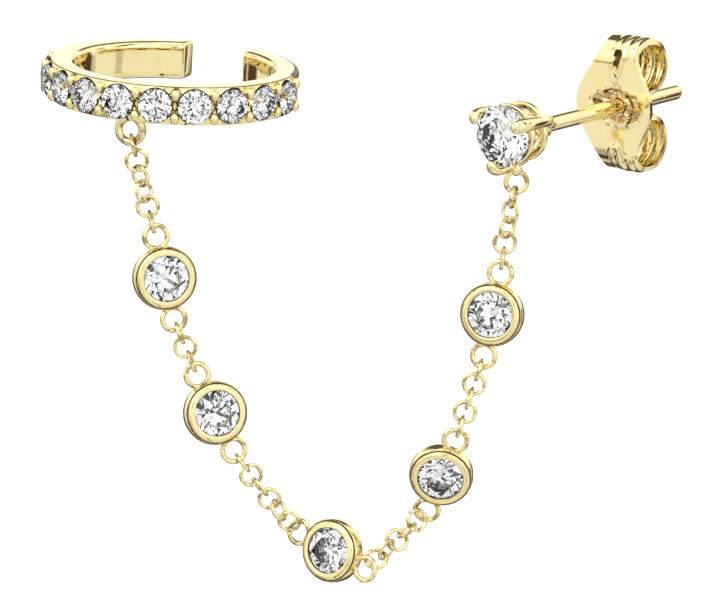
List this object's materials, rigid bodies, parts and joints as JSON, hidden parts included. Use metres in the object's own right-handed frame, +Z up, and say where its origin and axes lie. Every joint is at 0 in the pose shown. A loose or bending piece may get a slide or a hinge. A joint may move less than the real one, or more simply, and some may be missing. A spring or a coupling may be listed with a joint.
{
  "type": "ear chain earring",
  "caption": "Open ear cuff with a row of round stones, joined by a fine chain with bezel-set stones to a three-prong stud with a butterfly nut.",
  "frame": {"origin": "on the axis of the post, at the middle of the stretch where it sits in the ear lobe", "axes": "+Z up as the earring hangs; +X to the wearer-side right in the front view, from the cuff towards the stud; +Y back, away from the viewer; the post points 38 degrees to the right of +Y"},
  "size_m": [0.031, 0.0136, 0.0252],
  "materials": {
    "gold": "polished yellow gold",
    "diamond": "cut and polished clear stone"
  },
  "bodies": {
    "earring": {"ear_cuff": "gold", "cuff_stones": "diamond", "stud_setting": "gold", "stud_stone": "diamond", "bezel_1": "gold", "bezel_2": "gold", "bezel_3": "gold", "bezel_4": "gold", "bezel_5": "gold", "bezel_stone_1": "diamond", "bezel_stone_2": "diamond", "bezel_stone_3": "diamond", "bezel_stone_4": "diamond", "bezel_stone_5": "diamond", "link_01": "gold", "link_02": "gold", "link_03": "gold", "link_04": "gold", "link_05": "gold", "link_06": "gold", "link_07": "gold", "link_08": "gold", "link_09": "gold", "link_10": "gold", "link_11": "gold", "link_12": "gold", "link_13": "gold", "link_14": "gold", "link_15": "gold", "link_16": "gold", "link_17": "gold", "link_18": "gold", "link_19": "gold", "link_20": "gold", "link_21": "gold", "link_22": "gold", "link_23": "gold", "link_24": "gold", "link_25": "gold", "link_26": "gold", "link_27": "gold", "link_28": "gold", "link_29": "gold", "link_30": "gold"},
    "nut": {"ear_nut": "gold"}
  },
  "joints": [
    {"name": "nut_slide", "type": "slide", "parent": "earring", "child": "nut", "axis": [0.6157, 0.788, 0], "range_m": [-0.0054, 0.0055]}
  ]
}
